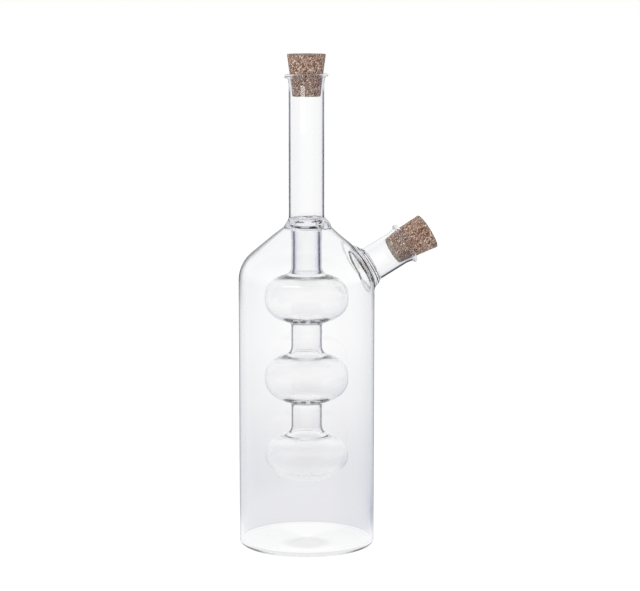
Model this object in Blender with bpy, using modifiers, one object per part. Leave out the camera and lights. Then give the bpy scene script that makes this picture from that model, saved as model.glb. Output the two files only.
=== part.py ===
"""Two-chamber oil and vinegar bottle of lampworked glass, with two cork stoppers.

Metres, +Z up. The origin is the centre of the underside, on the bottle's axis. The spout points to +X.
The glass is fused from six drawn or blown pieces: an outer jacket, an inner vessel of three bulbs, a neck tube,
a spout tube and the two thick seals that join them. Each cork slides out along its own tube.
"""

import math

import bpy
from mathutils import Matrix

# Outer jacket. The shoulder's height is where the lines of the wall and the cone would meet
JACKET_RADIUS = 0.0375
JACKET_WALL = 0.0018
BASE_THICKNESS = 0.0030
BASE_EDGE_RADIUS = 0.0045
FLOOR_EDGE_RADIUS = 0.0050
SHOULDER_HEIGHT = 0.1570
SHOULDER_SLOPE = math.radians(39.6)
SHOULDER_ROUNDING = 0.0200
JACKET_MOUTH_ROUNDING = 0.0012

# Tube of the neck and the spout, with its flared and fire-polished lip
TUBE_RADIUS = 0.00975
TUBE_WALL = 0.0012
NECK_TUBE_LENGTH = 0.0782
SPOUT_TUBE_LENGTH = 0.0228
FLARE_LENGTH = 0.0055
FLARE = 0.0007
FLARE_ROUNDING = 0.0080
LIP_WIDTH = 0.00225
LIP_THICKNESS = 0.0019
LIP_BEAD_RADIUS = 0.0009
LIP_THROAT_ROUNDING = 0.0007
LIP_MOUTH_ROUNDING = 0.0011

# Neck seal, the ring of melted glass where jacket, inner vessel and neck tube meet
NECK_SEAL_WIDTH = 0.00345
NECK_SEAL_HEIGHT = 0.0054
NECK_SEAL_HOLLOW = 0.0005
NECK_SEAL_ROUNDING = 0.0060

# Inner vessel: a stem that opens into flattened bulbs. Each bulb's place is that of its middle
STEM_RADIUS = 0.0085
STEM_WALL = 0.0013
STEM_LENGTH = 0.0391
BULB_COUNT = 3
BULB_RADIUS = 0.0232
BULB_HALF_HEIGHT = 0.0143
BULB_WALL = 0.0010
BULB_SQUARENESS = 2.4
BULB_FILLET = 0.0030
LOWEST_BULB_HEIGHT = 0.0486

# Spout. Its axis starts where it crosses the line of the jacket's wall
SPOUT_DROP = 0.0010
SPOUT_ELEVATION = math.radians(30.0)
SPOUT_ROOT_DEPTH = 0.0009
SPOUT_SEAL_WIDTH = 0.00465
SPOUT_SEAL_FLANGE = 0.0065
SPOUT_SEAL_HOLLOW = 0.0007
SPOUT_SEAL_ROUNDING = 0.0060
SPOUT_SEAL_LENGTH = 0.0076
SPOUT_SLEEVE_WALL = 0.0044
SPOUT_SLEEVE_END_WALL = 0.0017
SPOUT_SLEEVE_BORE_LENGTH = 0.0025
SPOUT_SLEEVE_ROUNDING = 0.0012

# Cork stoppers. Each leaves its tube with the tube's taper and swells to its top
CORK_LENGTH = 0.0230
CORK_TOP_RADIUS = 0.0105
CORK_END_TAPER = 0.0005
CORK_EDGE_ROUNDING = 0.0004
NECK_CORK_DEPTH = 0.0125
SPOUT_CORK_DEPTH = 0.0092
SPOUT_CORK_LEAN = math.radians(3.5)

# Gaps between the glass pieces, and from a cork to the glass that grips it
SEAM_GAP = 0.0003
CORK_CLEARANCE = 0.0003
CUT_OVERRUN = 0.0020

# Fineness of the round shapes
JACKET_STEPS = 40
TUBE_STEPS = 32
ROUNDING_STEPS = 2
SHOULDER_STEPS = 5
BULB_STEPS = 8
MERGE_DISTANCE = 0.00001
SHARP_ANGLE = math.radians(40)

# Sizes that follow from those above
TUBE_BORE = TUBE_RADIUS - TUBE_WALL
STEM_BORE = STEM_RADIUS - STEM_WALL
NECK_SEAL_RADIUS = TUBE_RADIUS + NECK_SEAL_WIDTH
SHOULDER_TOP = SHOULDER_HEIGHT + (JACKET_RADIUS - NECK_SEAL_RADIUS) * math.tan(SHOULDER_SLOPE)
NECK_SEAL_BOTTOM = SHOULDER_TOP + SEAM_GAP
NECK_SEAL_TOP = NECK_SEAL_BOTTOM + NECK_SEAL_HEIGHT
NECK_TUBE_BOTTOM = NECK_SEAL_TOP + SEAM_GAP
NECK_RIM = NECK_TUBE_BOTTOM + NECK_TUBE_LENGTH
SPOUT_SEAL_TOP = -SPOUT_ROOT_DEPTH
SPOUT_TUBE_BOTTOM = SPOUT_SEAL_TOP + SEAM_GAP
SPOUT_RIM = SPOUT_TUBE_BOTTOM + SPOUT_TUBE_LENGTH
SPOUT_SLEEVE_RADIUS = TUBE_BORE + SPOUT_SLEEVE_WALL
TOP_BULB_HEIGHT = SHOULDER_TOP - STEM_LENGTH
BULB_PITCH = (TOP_BULB_HEIGHT - LOWEST_BULB_HEIGHT) / (BULB_COUNT - 1)

GLASS = ("clear_glass", (0.93, 0.95, 0.97, 1.0), 0.03, 1.0)
CORK = ("agglomerated_cork", (0.36, 0.22, 0.16, 1.0), 0.85, 0.0)


def clear_scene():
    for obj in list(bpy.data.objects):
        bpy.data.objects.remove(obj)


def make_material(name, colour, roughness, transmission):
    material = bpy.data.materials.new(name)
    material.use_nodes = True
    shader = material.node_tree.nodes["Principled BSDF"]
    shader.inputs["Base Color"].default_value = colour
    shader.inputs["Roughness"].default_value = roughness
    shader.inputs["Metallic"].default_value = 0.0
    shader.inputs["Transmission Weight"].default_value = transmission
    return material


def make_collection(name):
    collection = bpy.data.collections.new(name)
    bpy.context.scene.collection.children.link(collection)
    return collection


def angle_between(corner, neighbour):
    return math.atan2(neighbour[1] - corner[1], neighbour[0] - corner[0])


def half_turn(before, after):
    """Half the way round from one direction to another, the short way, with its sign."""
    return ((after - before + math.pi) % math.tau - math.pi) / 2


def corner_reaches(corners):
    """How far each corner's arc runs along its two edges, shortened where two arcs would meet."""
    reaches = [0.0] * len(corners)
    for index in range(1, len(corners) - 1):
        before = angle_between(corners[index], corners[index - 1])
        after = angle_between(corners[index], corners[index + 1])
        reaches[index] = corners[index][2] / math.tan(abs(half_turn(before, after)))
    for index in range(len(corners) - 1):
        length = math.dist(corners[index][:2], corners[index + 1][:2])
        wanted = reaches[index] + reaches[index + 1]
        if wanted > length:
            reaches[index] *= length / wanted
            reaches[index + 1] *= length / wanted
    return reaches


def rounded(corners, steps=ROUNDING_STEPS):
    """The path through corners of (radius, height, rounding), with an arc of that rounding in each corner."""
    path = []
    for index, (corner, reach) in enumerate(zip(corners, corner_reaches(corners))):
        x, z = corner[:2]
        if reach <= 0:
            path.append((x, z))
            continue
        before = angle_between(corner, corners[index - 1])
        after = angle_between(corner, corners[index + 1])
        half = half_turn(before, after)
        radius = reach * math.tan(abs(half))
        to_centre = reach / math.cos(half)
        centre_x = x + to_centre * math.cos(before + half)
        centre_z = z + to_centre * math.sin(before + half)
        start = before - math.copysign(math.pi / 2, half)
        turn = math.copysign(math.pi - abs(2 * half), -half)
        for step in range(steps + 1):
            angle = start + turn * step / steps
            path.append((centre_x + radius * math.cos(angle), centre_z + radius * math.sin(angle)))
    return path


def turned(name, path, collection, steps=TUBE_STEPS, closed=False, material=None):
    """A solid turned from a path of (radius, height) that runs down its outer side."""
    mesh = bpy.data.meshes.new(name)
    edges = [(index, index + 1) for index in range(len(path) - 1)]
    if closed:
        edges.append((len(path) - 1, 0))
    mesh.from_pydata([(radius, 0, height) for radius, height in path], edges, [])
    obj = bpy.data.objects.new(name, mesh)
    collection.objects.link(obj)
    screw = obj.modifiers.new("turn", "SCREW")
    screw.axis = "Z"
    screw.angle = math.tau
    screw.steps = steps
    screw.render_steps = steps
    screw.use_merge_vertices = True
    screw.merge_threshold = MERGE_DISTANCE
    screw.use_smooth_shade = True
    if material:
        mesh.materials.append(material)
    return obj


def make_cutter(obj):
    obj.hide_render = True
    obj.display_type = "WIRE"
    return obj


def cut(obj, cutter):
    boolean = obj.modifiers.new("cut_" + cutter.name, "BOOLEAN")
    boolean.operation = "DIFFERENCE"
    boolean.solver = "EXACT"
    boolean.object = cutter


def apply_modifiers(obj):
    """Replaces an object's mesh with its evaluated one, shaded smooth but for its sharp edges."""
    mesh = bpy.data.meshes.new_from_object(obj.evaluated_get(bpy.context.evaluated_depsgraph_get()))
    obj.modifiers.clear()
    obj.data = mesh
    mesh.shade_smooth()
    mesh.set_sharp_from_angle(angle=SHARP_ANGLE)


def jacket_outer_corners(grown=0.0):
    """The jacket's outer outline, from the shoulder's top down to the axis, grown outwards by a distance."""
    radius = JACKET_RADIUS + grown
    corner = SHOULDER_HEIGHT + grown * (1 / math.cos(SHOULDER_SLOPE) - math.tan(SHOULDER_SLOPE))
    return [
        (NECK_SEAL_RADIUS, corner + (radius - NECK_SEAL_RADIUS) * math.tan(SHOULDER_SLOPE), 0),
        (radius, corner, SHOULDER_ROUNDING + grown),
        (radius, -grown, BASE_EDGE_RADIUS + grown),
        (0, -grown, 0),
    ]


def jacket_inner_corners():
    """The jacket's inner outline, from the floor's centre up to the mouth that closes round the stem."""
    radius = JACKET_RADIUS - JACKET_WALL
    corner = SHOULDER_HEIGHT - JACKET_WALL * (1 / math.cos(SHOULDER_SLOPE) - math.tan(SHOULDER_SLOPE))
    ceiling = SHOULDER_TOP - JACKET_WALL
    ceiling_radius = radius - (ceiling - corner) / math.tan(SHOULDER_SLOPE)
    mouth = STEM_RADIUS + SEAM_GAP
    return [
        (0, BASE_THICKNESS, 0),
        (radius, BASE_THICKNESS, FLOOR_EDGE_RADIUS),
        (radius, corner, SHOULDER_ROUNDING - JACKET_WALL),
        (ceiling_radius, ceiling, JACKET_MOUTH_ROUNDING),
        (mouth, ceiling, 0),
        (mouth, SHOULDER_TOP, 0),
    ]


def put_on_spout(obj, spout_axis):
    """Stands an object that was turned about Z on the spout's axis."""
    obj.parent = spout_axis
    obj.matrix_parent_inverse = Matrix.Identity(4)


def spout_plug(name, radius, rounding, length, spout_axis, cutters):
    """A plain round plug on the spout's axis, from outside the jacket to a length inside its wall's line."""
    outside = SPOUT_TUBE_BOTTOM + CUT_OVERRUN
    corners = [(0, outside, 0), (radius, outside, 0), (radius, -length, rounding), (0, -length, 0)]
    plug = make_cutter(turned(name, rounded(corners), cutters))
    put_on_spout(plug, spout_axis)
    return plug


def make_jacket(parts, cutters, spout_axis, glass):
    outline = rounded(jacket_inner_corners(), SHOULDER_STEPS) + rounded(jacket_outer_corners(), SHOULDER_STEPS)
    jacket = turned("outer_jacket", outline, parts, JACKET_STEPS, material=glass)
    hole_radius = SPOUT_SLEEVE_RADIUS + SEAM_GAP
    hole_length = SPOUT_ROOT_DEPTH + SPOUT_SEAL_LENGTH + CUT_OVERRUN
    cut(jacket, spout_plug("spout_hole_cutter", hole_radius, 0, hole_length, spout_axis, cutters))
    apply_modifiers(jacket)


def bulb_arc(radius, half_height, centre, from_radius, closed):
    """One bulb's outline, from its top down: a superellipse that leaves the stem at from_radius."""
    power = 2 / BULB_SQUARENESS
    start = math.acos(min(1, (from_radius / radius) ** (1 / power)))
    end = -math.pi / 2 if closed else -start
    points = []
    for step in range(BULB_STEPS + 1):
        angle = start + (end - start) * step / BULB_STEPS
        across = abs(math.cos(angle)) ** power * radius
        up = math.copysign(abs(math.sin(angle)) ** power * half_height, angle)
        points.append((across, centre + up))
    if closed:
        points[-1] = (0, centre - half_height)
    return points


def vessel_outline(stem, bulb, half_height):
    """One side of the inner vessel's wall, from the seal down to the lowest bulb's bottom."""
    corners = [(stem, SHOULDER_TOP, 0)]
    for number in range(BULB_COUNT):
        lowest = number == BULB_COUNT - 1
        arc = bulb_arc(bulb, half_height, TOP_BULB_HEIGHT - number * BULB_PITCH, stem, lowest)
        corners.append((*arc[0], BULB_FILLET))
        corners += [(radius, height, 0) for radius, height in arc[1:-1]]
        corners.append((*arc[-1], 0 if lowest else BULB_FILLET))
    return rounded(corners)


def make_inner_vessel(parts, glass):
    outside = vessel_outline(STEM_RADIUS, BULB_RADIUS, BULB_HALF_HEIGHT)
    inside = vessel_outline(STEM_BORE, BULB_RADIUS - BULB_WALL, BULB_HALF_HEIGHT - BULB_WALL)
    apply_modifiers(turned("inner_vessel", inside[::-1] + outside, parts, material=glass))


def make_neck_seal(parts, glass):
    corners = [
        (TUBE_BORE, NECK_SEAL_TOP, 0),
        (TUBE_RADIUS, NECK_SEAL_TOP, 0),
        (
            (TUBE_RADIUS + NECK_SEAL_RADIUS) / 2 - NECK_SEAL_HOLLOW,
            (NECK_SEAL_TOP + NECK_SEAL_BOTTOM) / 2,
            NECK_SEAL_ROUNDING,
        ),
        (NECK_SEAL_RADIUS, NECK_SEAL_BOTTOM, 0),
        (STEM_BORE, NECK_SEAL_BOTTOM, 0),
    ]
    apply_modifiers(turned("neck_seal", rounded(corners), parts, closed=True, material=glass))


def tube_outline(bottom, rim):
    """A straight tube from bottom to rim, which flares to a rounded lip."""
    flare_start = rim - FLARE_LENGTH
    underside = rim - LIP_THICKNESS
    lip_radius = TUBE_RADIUS + LIP_WIDTH
    corners = [
        (TUBE_BORE, bottom, 0),
        (TUBE_BORE, flare_start, FLARE_ROUNDING),
        (TUBE_BORE + FLARE, rim, LIP_MOUTH_ROUNDING),
        (lip_radius, rim, LIP_BEAD_RADIUS),
        (lip_radius, underside, LIP_BEAD_RADIUS),
        (TUBE_RADIUS + FLARE, underside, LIP_THROAT_ROUNDING),
        (TUBE_RADIUS, flare_start, FLARE_ROUNDING),
        (TUBE_RADIUS, bottom, 0),
    ]
    return rounded(corners)


def make_spout_seal(parts, cutters, spout_axis, glass):
    """The collar round the spout's root: a flange that is trimmed to the jacket's outside, and a sleeve through it."""
    sleeve_end = SPOUT_SEAL_TOP - SPOUT_SEAL_LENGTH
    flange_radius = TUBE_RADIUS + SPOUT_SEAL_WIDTH
    corners = [
        (SPOUT_SLEEVE_RADIUS - SPOUT_SLEEVE_END_WALL, sleeve_end - CUT_OVERRUN, 0),
        (SPOUT_SLEEVE_RADIUS - SPOUT_SLEEVE_END_WALL, sleeve_end, 0),
        (TUBE_BORE, SPOUT_SEAL_TOP - SPOUT_SLEEVE_BORE_LENGTH, SPOUT_SEAL_ROUNDING),
        (TUBE_BORE, SPOUT_SEAL_TOP, 0),
        (TUBE_RADIUS, SPOUT_SEAL_TOP, 0),
        (
            (TUBE_RADIUS + flange_radius) / 2 - SPOUT_SEAL_HOLLOW,
            SPOUT_SEAL_TOP - SPOUT_SEAL_FLANGE / 2,
            SPOUT_SEAL_ROUNDING,
        ),
        (flange_radius, SPOUT_SEAL_TOP - SPOUT_SEAL_FLANGE, 0),
        (flange_radius, sleeve_end - CUT_OVERRUN, 0),
    ]
    seal = turned("spout_seal", rounded(corners), parts, closed=True, material=glass)
    put_on_spout(seal, spout_axis)

    envelope_path = rounded(jacket_outer_corners(SEAM_GAP), SHOULDER_STEPS)
    envelope_path.insert(0, (0, envelope_path[0][1]))
    envelope = make_cutter(turned("jacket_envelope_cutter", envelope_path, cutters, JACKET_STEPS))
    sleeve_length = SPOUT_ROOT_DEPTH + SPOUT_SEAL_LENGTH
    sleeve = spout_plug(
        "spout_sleeve_cutter", SPOUT_SLEEVE_RADIUS, SPOUT_SLEEVE_ROUNDING, sleeve_length, spout_axis, cutters
    )
    cut(envelope, sleeve)
    cut(seal, envelope)
    apply_modifiers(seal)


def cork_outline(rim, depth):
    """A tapered cork pushed into a tube to a depth below its rim, squeezed where the flare grips it."""
    bottom = rim - depth
    top = bottom + CORK_LENGTH
    gripped = TUBE_BORE - CORK_CLEARANCE
    corners = [
        (0, top, 0),
        (CORK_TOP_RADIUS, top, CORK_EDGE_ROUNDING),
        (gripped + FLARE, rim, 0),
        (gripped, rim - FLARE_LENGTH, 0),
        (gripped - CORK_END_TAPER, bottom, CORK_EDGE_ROUNDING),
        (0, bottom, 0),
    ]
    return rounded(corners)


def lean_beyond(obj, height, lean):
    """Leans the part of an object that lies beyond a height towards its +X, as a cork pushed in askew."""
    for vertex in obj.data.vertices:
        if vertex.co.z > height:
            vertex.co.x += (vertex.co.z - height) * math.tan(lean)


def main():
    clear_scene()
    parts = make_collection("oil_and_vinegar_bottle")
    cutters = make_collection("cutters")
    glass = make_material(*GLASS)
    cork = make_material(*CORK)

    spout_axis = bpy.data.objects.new("spout_axis", None)
    parts.objects.link(spout_axis)
    spout_axis.location = (JACKET_RADIUS, 0, SHOULDER_HEIGHT - SPOUT_DROP)
    spout_axis.rotation_euler = (0, math.pi / 2 - SPOUT_ELEVATION, 0)

    make_jacket(parts, cutters, spout_axis, glass)
    make_inner_vessel(parts, glass)
    make_neck_seal(parts, glass)
    make_spout_seal(parts, cutters, spout_axis, glass)
    neck_outline = tube_outline(NECK_TUBE_BOTTOM, NECK_RIM)
    apply_modifiers(turned("neck_tube", neck_outline, parts, closed=True, material=glass))
    spout_outline = tube_outline(SPOUT_TUBE_BOTTOM, SPOUT_RIM)
    spout_tube = turned("spout_tube", spout_outline, parts, closed=True, material=glass)
    put_on_spout(spout_tube, spout_axis)
    apply_modifiers(spout_tube)

    apply_modifiers(turned("neck_cork", cork_outline(NECK_RIM, NECK_CORK_DEPTH), parts, material=cork))
    spout_cork = turned("spout_cork", cork_outline(SPOUT_RIM, SPOUT_CORK_DEPTH), parts, material=cork)
    put_on_spout(spout_cork, spout_axis)
    apply_modifiers(spout_cork)
    lean_beyond(spout_cork, SPOUT_RIM, SPOUT_CORK_LEAN)


main()
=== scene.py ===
"""Looks of the two-chamber oil and vinegar bottle: hand-worked clear glass and two pressed cork stoppers.

Sizes here are millimetres in the row frame, and meshes are made in metres. The glass is one continuous
skin, as in a fused bottle: each glass piece is the stretch of it that replaces one CAD node, and neighbours
share their edge exactly.
"""

import math
from types import SimpleNamespace

import bpy
import numpy as np
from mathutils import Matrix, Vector
from mathutils.geometry import delaunay_2d_cdt


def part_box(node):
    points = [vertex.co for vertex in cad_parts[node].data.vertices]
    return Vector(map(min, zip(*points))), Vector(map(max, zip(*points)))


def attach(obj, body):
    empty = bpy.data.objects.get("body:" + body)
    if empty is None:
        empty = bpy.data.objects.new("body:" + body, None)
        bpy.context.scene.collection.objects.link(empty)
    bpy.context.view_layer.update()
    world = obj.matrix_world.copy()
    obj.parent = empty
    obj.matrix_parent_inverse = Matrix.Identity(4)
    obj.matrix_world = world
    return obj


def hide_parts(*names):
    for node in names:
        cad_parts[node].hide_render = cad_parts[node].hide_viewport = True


MM = 0.001
# The front view's right-hand side, and about how far it is turned from +X
RIGHT = (0.975, -0.222, 0.0)
RIGHT_TURN = 0.22

# Jacket
JACKET_WALL = 1.8
BASE_THICKNESS = 2.6
BASE_EDGE_RADIUS = 2.2
FLOOR_EDGE_RADIUS = 0.9
PUNT_RADIUS = 19.0
PUNT_HEIGHT = 0.1
SHOULDER_HEIGHT = 157.0
SHOULDER_SLOPE = math.radians(39.6)
SHOULDER_ROUNDING = 20.0
SHOULDER_DROP = JACKET_WALL * (1 / math.cos(SHOULDER_SLOPE) - math.tan(SHOULDER_SLOPE))
INNER_SHOULDER_HEIGHT = SHOULDER_HEIGHT - SHOULDER_DROP
# The chamber's ceiling and the end of the seal's inside, below the jacket's top
CEILING_DROP = 1.1
SEAL_FOOT_DROP = 2.0

# Tubes, their lips, and the neck's seal, whose seam with the tube lies amid the gap between their CAD nodes
TUBE_RADIUS = 9.75
TUBE_WALL = 1.2
BORE = TUBE_RADIUS - TUBE_WALL
LIP_RADIUS = 12.0
LIP_HEIGHT = 1.9
LIP_ROUNDING = 0.9
FLARE = 0.7
FLARE_LENGTH = 5.5
FLARE_ROUNDING = 8.0
SEAL_RADIUS = 13.2
HALF_GAP = 0.15

# Inner vessel
STEM_RADIUS = 8.5
STEM_WALL = 1.3
BULB_COUNT = 3
BULB_HALF_HEIGHT = 14.3
BULB_SQUARENESS = 2.4
BOTTOM_SQUARENESS = 1.8
TOP_BULB_DROP = 39.1
# How far the flares of a bulb's top and bottom joints reach along the outline, on the stem and on the bulb
TOP_FLARE = (4.6, 3.2)
BOTTOM_FLARE = (3.0, 2.4)

# Spout. The columns of its axes are its local X (down and out), its Y and its axis
SPOUT_ORIGIN = (37.5, 0.0, 156.0)
SPOUT_ELEVATION = math.radians(30.0)
SPOUT_AXES = np.array(
    [
        [math.sin(SPOUT_ELEVATION), 0, math.cos(SPOUT_ELEVATION)],
        [0, 1, 0],
        [-math.cos(SPOUT_ELEVATION), 0, math.sin(SPOUT_ELEVATION)],
    ]
)
SPOUT_TUBE_START = -0.6
SPOUT_RIM = 22.2
WELD_RADIUS = 18.0
# Rings of painted shade on the weld's outside, standing in for its dark refraction lines: place along the
# spout's axis, and half width
WELD_SHADE_RINGS = [(-1.9, 0.35), (-3.3, 0.4), (-6.4, 0.6)]
# Where the weld's funnel ends inside the chamber, along the spout's axis: on average, and how far that leans
FUNNEL_END = -7.88
FUNNEL_LEAN = 0.48
FUNNEL_RADIUS = 12.75

# Corks
CORK_LENGTH = 23.0
CORK_COLUMNS = 300
NECK_CORK_DEPTH = 12.5
SPOUT_CORK_DEPTH = 9.2
SPOUT_CORK_LEAN = math.radians(3.5)

COLUMNS = 192
ANGLES = np.arange(COLUMNS) * math.tau / COLUMNS
ARC_STEP = math.radians(4.0)
WELD_ROWS = 110

# Which of its piece's finishes a face has. The third is the lip's on a tube, the base's on the jacket and the
# links' on the inner vessel
OUTSIDE, INSIDE, STEM = 0, 1, 3
LIP = BASE = LINK = 2

# Drawing waves in glass: their scale, and their strength
DRAWN = (45.0, 0.006)
BLOWN = (60.0, 0.012)
THICK = (60.0, 0.010)
WELDED = (120.0, 0.008)
MELTED = (160.0, 0.02)

# Colour of the glass from face-on (0) to edge-on (1), as painted shade: an edge seen along its surface is
# darker
CLEAR = (1.0, 1.0, 1.0)
PALE = (0.97, 0.975, 0.985)
PALE_BULB = (0.97, 0.972, 0.98)
NO_EDGE = [(0.0, CLEAR), (1.0, CLEAR)]
BODY_EDGE = [
    (0.0, CLEAR),
    (0.72, (0.98, 0.985, 0.99)),
    (0.79, (0.80, 0.81, 0.86)),
    (0.86, (0.30, 0.30, 0.35)),
    (1.0, (0.02, 0.02, 0.04)),
]
BASE_EDGE = [(0.0, CLEAR), (0.70, PALE), (0.84, (0.35, 0.35, 0.37)), (1.0, (0.02, 0.02, 0.02))]
# Painted shade: the base's edges darker at the front view's left and right
BASE_SIDE_EDGE = [
    (0.0, CLEAR),
    (0.22, PALE),
    (0.36, (0.35, 0.35, 0.37)),
    (0.48, (0.04, 0.04, 0.04)),
    (1.0, (0.0, 0.0, 0.0)),
]
SHOULDER_EDGE = [
    (0.0, CLEAR),
    (0.64, PALE),
    (0.73, (0.30, 0.31, 0.33)),
    (0.79, (0.01, 0.01, 0.012)),
    (1.0, (0.0, 0.0, 0.0)),
]
TUBE_EDGE = [
    (0.0, CLEAR),
    (0.48, PALE),
    (0.56, (0.40, 0.41, 0.45)),
    (0.61, (0.03, 0.03, 0.04)),
    (0.72, (0.03, 0.03, 0.04)),
    (0.84, (0.40, 0.41, 0.44)),
    (1.0, (0.5, 0.5, 0.53)),
]
SPOUT_EDGE = [(0.0, CLEAR), (0.66, PALE), (0.84, (0.25, 0.26, 0.28)), (1.0, (0.1, 0.1, 0.11))]
# Painted shade: the spout's edges are darker where it faces down
SPOUT_LOW_EDGE = [
    (0.0, CLEAR),
    (0.50, PALE),
    (0.56, (0.25, 0.26, 0.29)),
    (0.61, (0.0, 0.0, 0.0)),
    (1.0, (0.0, 0.0, 0.0)),
]
LIP_EDGE = [(0.0, CLEAR), (0.4, (0.94, 0.945, 0.95)), (0.8, (0.72, 0.73, 0.73)), (1.0, (0.55, 0.56, 0.56))]
BULB_EDGE = [(0.0, CLEAR), (0.62, PALE_BULB), (0.85, (0.66, 0.67, 0.70)), (1.0, (0.22, 0.22, 0.24))]
BULB_LEVEL_EDGE = [(0.0, CLEAR), (0.84, PALE_BULB), (0.94, (0.60, 0.61, 0.63)), (1.0, (0.30, 0.31, 0.33))]
STEM_EDGE = [
    (0.0, CLEAR),
    (0.12, (0.96, 0.96, 0.985)),
    (0.24, (0.74, 0.73, 0.84)),
    (0.32, (0.38, 0.36, 0.50)),
    (0.38, (0.025, 0.022, 0.05)),
    (0.45, (0.0, 0.0, 0.01)),
    (0.50, (0.08, 0.08, 0.13)),
    (0.60, (0.62, 0.63, 0.70)),
    (1.0, (0.80, 0.81, 0.85)),
]
WELD_EDGE = [(0.0, CLEAR), (0.62, PALE), (0.85, (0.55, 0.56, 0.59)), (1.0, (0.05, 0.05, 0.06))]
SEAL_EDGE = [
    (0.0, CLEAR),
    (0.40, (0.93, 0.935, 0.95)),
    (0.70, (0.40, 0.41, 0.44)),
    (1.0, (0.05, 0.05, 0.06)),
]

# Browns of the cork's granules
GRANULES = [
    (0.0, (0.20, 0.098, 0.062)),
    (0.20, (0.36, 0.210, 0.150)),
    (0.50, (0.50, 0.320, 0.240)),
    (0.75, (0.70, 0.500, 0.395)),
    (1.0, (0.95, 0.78, 0.65)),
]
FINE_GRAIN = [(0.30, (0.55, 0.52, 0.50)), (0.55, (1.0, 1.0, 1.0)), (0.75, (1.35, 1.35, 1.35))]
WHITE, BLACK = (1, 1, 1), (0, 0, 0)

# Grey of the floor by the distance in mm from the bottle's axis, painted shade that only glass shows: seen
# straight through glass near the base and further out, in reflections off the front of the glass, and in
# those off its inner sides
FLOOR_NEAR = [(0, 1.0), (38.2, 1.0), (38.9, 0.70), (40.5, 0.78), (60, 0.80)]
FLOOR_FAR = [(0, 0.80), (200, 0.82), (430, 0.94), (700, 1.0), (2000, 1.0)]
FLOOR_FRONT = [
    (0, 1.0),
    (60, 1.0),
    (110, 0.55),
    (300, 0.45),
    (800, 0.35),
    (1500, 0.08),
    (3000, 0.08),
    (4000, 0.4),
]
FLOOR_INNER = [(0, 1.0), (55, 1.0), (80, 0.85), (300, 0.88), (700, 0.98), (3000, 1.0)]
# Centre of a painted shadow: a darker spot on the floor under the bottle, seen through the glass
FLOOR_SHADOW_SPOT = (-0.0022, -0.0098, 0.0)


def rise(values, start, length):
    """0 up to start, then evenly up to 1 over length."""
    return np.clip((values - start) / length, 0, 1)


def fall(values, end, length):
    """1 until length before end, then evenly down to 0."""
    return np.clip((end - values) / length, 0, 1)


def bell(values, middle, width):
    return np.exp(-(((values - middle) / width) ** 2))


def path_lengths(path):
    """The length along a path to each of its points."""
    return np.concatenate([[0], np.cumsum(np.linalg.norm(np.diff(path, axis=0), axis=1))])


def round_axis(points):
    """The angle round the bottle's axis, and the distance from it."""
    return np.arctan2(points[..., 1], points[..., 0]), np.hypot(points[..., 0], points[..., 1])


def corner_reaches(corners):
    """How far each corner's arc reaches along its sides, and half the angle between them."""
    reaches = [0.0] * len(corners)
    halves = [0.0] * len(corners)
    for index in range(1, len(corners) - 1):
        (x, z), (x0, z0), (x1, z1) = (corners[k][:2] for k in (index, index - 1, index + 1))
        before = math.atan2(z0 - z, x0 - x)
        after = math.atan2(z1 - z, x1 - x)
        halves[index] = ((after - before + math.pi) % math.tau - math.pi) / 2
        if corners[index][2] > 0:
            reaches[index] = corners[index][2] / math.tan(abs(halves[index]))
    for index in range(len(corners) - 1):
        length = math.dist(corners[index][:2], corners[index + 1][:2])
        wanted = reaches[index] + reaches[index + 1]
        if wanted > length:
            reaches[index] *= length / wanted
            reaches[index + 1] *= length / wanted
    return reaches, halves


def rounded(corners):
    """A path of (radius, height) through corners of (radius, height, rounding), with fine arcs in them."""
    reaches, halves = corner_reaches(corners)
    path = []
    for index, (corner, reach, half) in enumerate(zip(corners, reaches, halves)):
        x, z = corner[:2]
        if reach <= 1e-9 or abs(abs(half) - math.pi / 2) < 1e-6:
            path.append((x, z))
            continue
        before = math.atan2(corners[index - 1][1] - z, corners[index - 1][0] - x)
        radius = reach * math.tan(abs(half))
        to_centre = reach / math.cos(half)
        centre = (x + to_centre * math.cos(before + half), z + to_centre * math.sin(before + half))
        start = before - math.copysign(math.pi / 2, half)
        turn = math.copysign(math.pi - abs(2 * half), -half)
        steps = max(2, round(abs(turn) / ARC_STEP))
        for step in range(steps + 1):
            angle = start + turn * step / steps
            path.append((centre[0] + radius * math.cos(angle), centre[1] + radius * math.sin(angle)))
    return path


def dense(path, spacing):
    """The path with points added so that none of its steps is longer than spacing."""
    out = [path[0]]
    for a, b in zip(path, path[1:]):
        parts = max(1, math.ceil(math.dist(a, b) / spacing))
        for k in range(1, parts + 1):
            out.append((a[0] + (b[0] - a[0]) * k / parts, a[1] + (b[1] - a[1]) * k / parts))
    return out


def outline(spacing, *corners):
    """A rounded path through corners of (radius, height, rounding), in steps of at most spacing."""
    return dense(rounded(corners), spacing)


def joined(parts):
    """The parts of a path one after another. Each begins where the one before it ends."""
    return list(parts[0]) + [point for part in parts[1:] for point in part[1:]]


def tube_outline(spacing, bottom, rim):
    """A tube's outline: up its outside, over its flared lip and down its bore."""
    flare_start = rim - FLARE_LENGTH
    return outline(
        spacing,
        (TUBE_RADIUS, bottom, 0),
        (TUBE_RADIUS, flare_start, FLARE_ROUNDING),
        (TUBE_RADIUS + FLARE, rim - LIP_HEIGHT, 0.7),
        (LIP_RADIUS, rim - LIP_HEIGHT, LIP_ROUNDING),
        (LIP_RADIUS, rim, LIP_ROUNDING),
        (BORE + FLARE, rim, 1.1),
        (BORE, flare_start, FLARE_ROUNDING),
        (BORE, bottom, 0),
    )


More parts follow.
